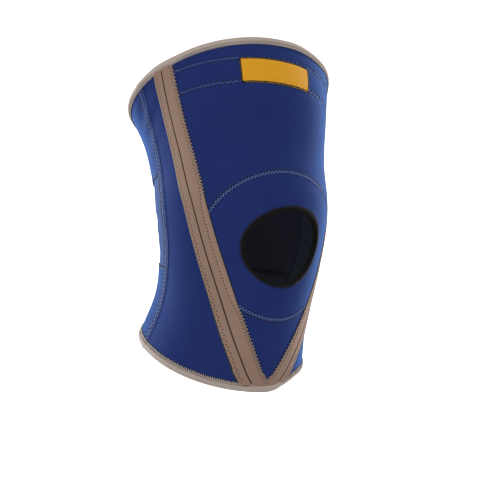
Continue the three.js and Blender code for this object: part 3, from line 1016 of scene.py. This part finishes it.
overlock, tick_shades, gap_shades = [], [], []
for rim, side, width in [(THIGH_LENGTH, 1, THIGH_BINDING), (-CALF_LENGTH, -1, CALF_BINDING)]:
    edge = along_line(rim_line(rim, side, width - 0.3), OVERLOCK_PITCH, 0.50)
    overlock.append(stitches(edge, *OVERLOCK, turn=90 + 9 * side))
    # Painted shade: dark ticks between the overlock threads, and dark bites in the panel beside them.
    between_them = along_line(rim_line(rim, side, width - 1.1), OVERLOCK_PITCH, 0.80,
                              half_stitch, 1 + half_stitch)
    tick_shades.append(stitches(between_them, *TICK_SHADE, turn=90 + 9 * side))
    gaps = along_line(rim_line(rim, side, width + 0.75), OVERLOCK_PITCH, 0.0,
                      half_stitch, 1 + half_stitch)
    gap_shades.append(stitches(gaps, *GAP_SHADE, turn=90))
    inner = along_line(rim_line(rim, side, width - 0.2), OVERLOCK_PITCH, -WALL - 0.4)
    overlock.append(stitches(inner, *INNER_OVERLOCK, turn=80, inside=True))
binding_stitches = sew("binding_overlock", overlock, thread_beige, "beige_knit")
binding_tick_shade = sew("binding_painted_tick_shade", tick_shades, painted_hole_shade, "beige_knit")
binding_gap_shade = sew("binding_gap_shade", gap_shades, dark_thread_and_shade, "blue_jersey")


def ring_rim(t):
    direction = 2 * np.pi * t
    return opening_edge(direction, ring_width(direction) - 0.2)


ring_edge = along_line(ring_rim, RING_PITCH, 0.35)
sew("kneecap_overlock", [stitches(ring_edge, *RING_STITCH, turn=84)], thread_black, "black_knit")

# %% [markdown]
# The side tapes are held by a zigzag on their front edge, whose points bite over the edge on
# to the blue, and by a plain row near the rear edge that shows only as needle holes. The dark
# marks on the tape for these holes are painted shade. The zigzag moves inboard beside the
# knee. Dark stitches at the tooth tips and along both edges, sunk in the blue, are painted
# shade too: the shade in the needle holes there, and the shade that a thick tape leaves beside it.

# %% Stitches of the tapes
TOOTH_PITCH, HOLE_PITCH, TIP_PITCH = 1.35, 2.3, 2.7
TOOTH = (3.1, 0.72, 0.7)
REAR_DASH = (1.7, 0.5, 0.45)
TAPE_REAR_HOLE_SHADE = (1.3, 0.8, 0.3)
TAPE_FRONT_HOLE_SHADE = (1.1, 0.8, 0.3)
TOOTH_TIP_SHADE = (1.2, 0.95, 0.6)
FRONT_SHADE = (1.3, 0.9, 0.55)
REAR_SHADE = (1.6, 1.0, 0.45)


def tape_line(side, across):
    bottom, top = PANEL_BOTTOM + 1.0, PANEL_TOP - 1.0

    def line(t):
        place = bottom + (top - bottom) * t
        offset = across(place) if callable(across) else across
        return tape_x(side, offset, place), place
    return line


def zigzag_inset(place):
    """How far the zigzag's middle lies inboard: 0 at both ends of the tape, more by the knee."""
    return 3.0 * np.exp(-((place + 31) / 33) ** 8)


def front_edge(inboard):
    return lambda place: -TAPE_FRONT_BAND + zigzag_inset(place) + inboard


edge_zigzag, hole_shade_rows, edge_shade_rows = [], [], []
for side in (-1, 1):
    teeth = along_line(tape_line(side, front_edge(-0.45)), TOOTH_PITCH, 0.72)
    edge_zigzag.append(stitches(teeth, *TOOTH, turn=64, zigzag=True))
    rear = along_line(tape_line(side, TAPE_REAR_BAND - 0.35), 1.9, 0.80)
    edge_zigzag.append(stitches(rear, *REAR_DASH, turn=12, zigzag=True))
    # Painted shade: dark marks for needle holes on the tape, and at the tooth tips and edges in the blue.
    inboard = along_line(tape_line(side, TAPE_REAR_BAND - 2.2), HOLE_PITCH, 0.98)
    hole_shade_rows.append(stitches(inboard, *TAPE_REAR_HOLE_SHADE, turn=25, sway=0.5))
    inner = along_line(tape_line(side, front_edge(1.35)), TIP_PITCH, 0.98)
    hole_shade_rows.append(stitches(inner, *TAPE_FRONT_HOLE_SHADE, turn=70))
    outer = along_line(tape_line(side, front_edge(-1.75)), TIP_PITCH, 0.02)
    edge_shade_rows.append(stitches(outer, *TOOTH_TIP_SHADE, turn=60))
    base = along_line(tape_line(side, -TAPE_FRONT_BAND - 0.5), TOOTH_PITCH, -0.05)
    edge_shade_rows.append(stitches(base, *FRONT_SHADE, turn=10))
    shade = along_line(tape_line(side, TAPE_REAR_BAND + 0.55), 1.3, -0.10)
    edge_shade_rows.append(stitches(shade, *REAR_SHADE, turn=4))
tape_zigzag = sew("tape_zigzag", edge_zigzag, thread_tape, "beige_tape")
tape_hole_shade = sew("tape_painted_hole_shade", hole_shade_rows, painted_hole_shade, "beige_tape")
tape_edge_shade = sew("tape_painted_edge_shade", edge_shade_rows, dark_thread_and_shade, "blue_jersey")

# %% [markdown]
# The panels are butted and sewn flat: a zigzag of blue thread bridges each seam, and a row of
# dark marks lies on each side of it, painted shade in the needle holes. The same flat seam
# closes the oval pad, the back seams and the two ends of the insert. Two rows of plain zigzag
# hold the elastic above the knee, with the same painted shade at their needle holes. On the
# lining each seam shows one more zigzag, in dark thread.

# %% Flat seams of the panels
MARK_PITCH, BACK_PITCH, LINING_PITCH = 2.1, 1.6, 1.5
REAR_MARK_SHADE = (1.75, 1.6, 0.9)
FRONT_MARK_SHADE = (1.3, 1.2, 0.7)
ROW_MARK_SHADE = (1.75, 1.6, 0.9)
BACK_ZIGZAG = (4.2, 0.68, 0.6)
FRONT_DASH = (1.8, 0.5, 0.45)
ROW_ZIGZAG = (2.6, 0.55, 0.55)


def seam_line(side, shift):
    def line(t):
        place = PANEL_BOTTOM + (PANEL_TOP - PANEL_BOTTOM) * t
        return side * (seam_x(place) + shift), place
    return line


def insert_line(place, shift):
    def line(t):
        edge = float(seam_x(place))
        return edge + (360 * MM_PER_DEGREE - 2 * edge) * t, place + shift + 0 * t
    return line


def pad_line(margin):
    return lambda t: pad_edge(2 * np.pi * t, margin)


def top_row(upper):
    def line(t):
        left = float(tape_x(-1, -TAPE_FRONT_BAND - 1.5, np.array(row_place(-60.0, upper))))
        right = float(tape_x(1, -TAPE_FRONT_BAND - 1.5, np.array(row_place(60.0, upper))))
        x = left + (right - left) * t
        return x, row_place(x, upper)
    return line


def flat_seam(line, height, wide, pitch=1.35):
    """A zigzag that bridges a seam, and dark marks beside it, the bolder ones outside: painted shade in the
    needle holes.
    """
    middle = along_line(line(0.0), pitch, height)
    bridges.append(stitches(middle, wide, 0.58, 0.52, turn=62, zigzag=True))
    for side, size in ((-1, 1.0), (1, 1.45)):
        edge = along_line(line(side * (0.45 * wide + 0.5)), 2 * pitch, height + 0.05)
        marks.append(stitches(edge, 1.15 * size, 0.95 * size, 0.6, turn=10))


def lining_row(line, length, depth, height=0.6, turn=62):
    """The zigzag of a seam on the lining, as deep below the outer face as the wall is thick."""
    spots = along_line(line, LINING_PITCH, -depth)
    lining_rows.append(stitches(spots, length, 0.6, height, turn=turn, zigzag=True, inside=True))


bridges, marks, lining_rows = [], [], []
for side in (-1, 1):
    # Painted shade: the dark marks beside the back seams stand for shade in the needle holes.
    rear_row = along_line(seam_line(side, 3.3), MARK_PITCH, 0.05)
    marks.append(stitches(rear_row, *REAR_MARK_SHADE, turn=12))
    middle_row = along_line(seam_line(side, 1.0), BACK_PITCH, 0.0)
    bridges.append(stitches(middle_row, *BACK_ZIGZAG, turn=66, zigzag=True))
    front_row = along_line(seam_line(side, -3.1), MARK_PITCH, 0.05)
    marks.append(stitches(front_row, *FRONT_MARK_SHADE, turn=12))
    dashes = along_line(seam_line(side, -2.4), MARK_PITCH, 0.05)
    bridges.append(stitches(dashes, *FRONT_DASH, turn=8))
    lining_row(seam_line(side, 0.0), 3.2, WALL)
for place, way in ((INSERT_TOP, 1), (INSERT_BOTTOM, -1)):
    flat_seam(lambda shift: insert_line(place, shift), -0.25, 3.0, 1.45)
    lining_row(insert_line(place, 1.6 * way), 2.4, WALL, turn=58)
flat_seam(pad_line, 0.0, 2.8)
lining_row(pad_line(0.0), 3.0, WALL + 0.6, height=0.8)
for upper in (True, False):
    spots = along_line(top_row(upper), MARK_PITCH, 0.05)
    marks.append(stitches(spots, *ROW_MARK_SHADE, turn=15, sway=1.35))
    spots = along_line(top_row(upper), MARK_PITCH, 0.0)
    bridges.append(stitches(spots, *ROW_ZIGZAG, turn=50, zigzag=True))
seam_bridges = sew("seam_bridges", bridges, thread_blue, "blue_jersey")
seam_hole_shade = sew("seam_painted_hole_shade", marks, dark_thread_and_shade, "blue_jersey")
lining_seams = sew("lining_seams", lining_rows, dark_thread_and_shade, "blue_jersey")

# %% [markdown]
# A close satin stitch in dark thread runs round the label and makes its border.

# %% Border of the label


def label_edge(t):
    """The label's edge, walked once at an even pace."""
    wide, high = LABEL_HALF[0] - 0.5, LABEL_HALF[1] - 0.5
    reach = np.cumsum([0.0, high, 2 * wide, 2 * high, 2 * wide, high])
    walked = (t % 1) * reach[-1]
    x = np.interp(walked, reach, [wide, wide, -wide, -wide, wide, wide])
    y = np.interp(walked, reach, [0.0, high, high, -high, -high, 0.0])
    return label_point(x, y)


BORDER_PITCH = 0.62
BORDER_STITCH = (1.5, 0.66, 0.5)
border = stitches(along_line(label_edge, BORDER_PITCH, 0.70), *BORDER_STITCH, turn=86)
label_border = sew("label_border", [border], thread_black, "amber_weave")

# %% [markdown]
# The area of each large sheet as worn is printed. A worn sleeve is stretched by about a tenth
# round, so each cut is narrower than the piece measures here.


def half_area(obj):
    return sum(face.area for face in obj.data.polygons) / 2


for sheet in (front_panel, upper_back, insert, lower_back):
    print(sheet.name, "area as worn in cm2:", round(half_area(sheet) * 1e4))

# %% [markdown]
# The sleeve is shown as shops show such things: in its worn form, alone, against white. The
# floor is a pale bowl, spun from a short profile, so no horizon shows from any side.

# %% The pale bowl
bm = bmesh.new()
profile = [(0.0, -0.80), (0.9, -0.80), (1.5, -0.72), (1.95, -0.40), (2.15, 0.10), (2.2, 1.3)]
spots = [bm.verts.new((reach, 0.0, height)) for reach, height in profile]
edges = [bm.edges.new(pair) for pair in zip(spots, spots[1:])]
bmesh.ops.spin(bm, geom=spots + edges, cent=(0, 0, 0), axis=(0, 0, 1), dvec=(0, 0, 0),
               angle=2 * math.pi, steps=48, use_merge=True)
bmesh.ops.remove_doubles(bm, verts=bm.verts, dist=0.0001)
bmesh.ops.recalc_face_normals(bm, faces=bm.faces)
pale = Finish("pale_backdrop")
pale.set(Base_Color=(0.86, 0.86, 0.87), Roughness=0.9, Emission_Color=(1.0, 1.0, 1.0), Emission_Strength=0.75)
bowl = to_object("bowl", bm, [pale.material])
bowl.data.shade_smooth()
rounding = bowl.modifiers.new("rounding", "SUBSURF")
rounding.levels = rounding.render_levels = 2
bowl.visible_diffuse = False
bowl.visible_glossy = False
print("bowl faces:", len(bowl.data.polygons))

# %% [markdown]
# The camera stands where the photograph's did: a little to the sleeve's side and just below
# its middle, looking slightly up. Its lens and distance were found by matching the outline.

# %% The camera
AZIMUTH, ELEVATION = math.radians(-35.3), math.radians(-6.1)
DISTANCE = 0.925
LENS = 86.6
back = Vector((math.sin(AZIMUTH) * math.cos(ELEVATION), -math.cos(AZIMUTH) * math.cos(ELEVATION),
               math.sin(ELEVATION)))
right = Vector((math.cos(AZIMUTH), math.sin(AZIMUTH), 0.0))
up = back.cross(right)
camera = bpy.data.objects.new("camera", bpy.data.cameras.new("camera"))
camera.data.lens = LENS
camera.data.sensor_width = 36.0
camera.data.clip_start = 0.01
aim = right * 0.0072 - up * 0.0303
turned = Matrix((right, up, back)).transposed().to_4x4()
camera.matrix_world = Matrix.Translation(aim + back * DISTANCE) @ turned
COLLECTION.objects.link(camera)
bpy.context.scene.camera = camera
print("camera at", [round(c, 3) for c in camera.location])

# %% [markdown]
# In the photograph the front is the darkest part and both sides glow, so the strong lights
# stand behind the sleeve, to its left and right, and only a weak one in front.

# %% Lights


def soft_light(name, place, power, wide, high, tint):
    data = bpy.data.lights.new(name, "AREA")
    data.shape = "RECTANGLE"
    data.size, data.size_y = wide, high
    data.energy = power
    data.color = tint
    light = bpy.data.objects.new(name, data)
    light.location = place
    light.rotation_euler = (-Vector(place)).to_track_quat("-Z", "Y").to_euler()
    COLLECTION.objects.link(light)


away = -back
soft_light("left_back", -right * 1.05 + away * 0.75 + up * 0.30,
           power=14.5, wide=0.7, high=1.1, tint=(0.90, 0.95, 1.0))
soft_light("right_back", right * 0.95 + away * 0.85 + up * 0.25,
           power=15, wide=0.6, high=1.1, tint=(0.94, 0.97, 1.0))
soft_light("front_fill", -right * 0.5 + back * 1.3 + up * 0.8,
           power=4, wide=0.9, high=0.9, tint=(1.0, 1.0, 1.0))
world = bpy.data.worlds.new("studio")
world.use_nodes = True
world.node_tree.nodes["Background"].inputs["Color"].default_value = (1.0, 1.0, 1.0, 1.0)
world.node_tree.nodes["Background"].inputs["Strength"].default_value = 0.55
bpy.context.scene.world = world
bpy.context.scene.view_settings.view_transform = "Standard"
bpy.context.scene.cycles.filter_width = 1.2
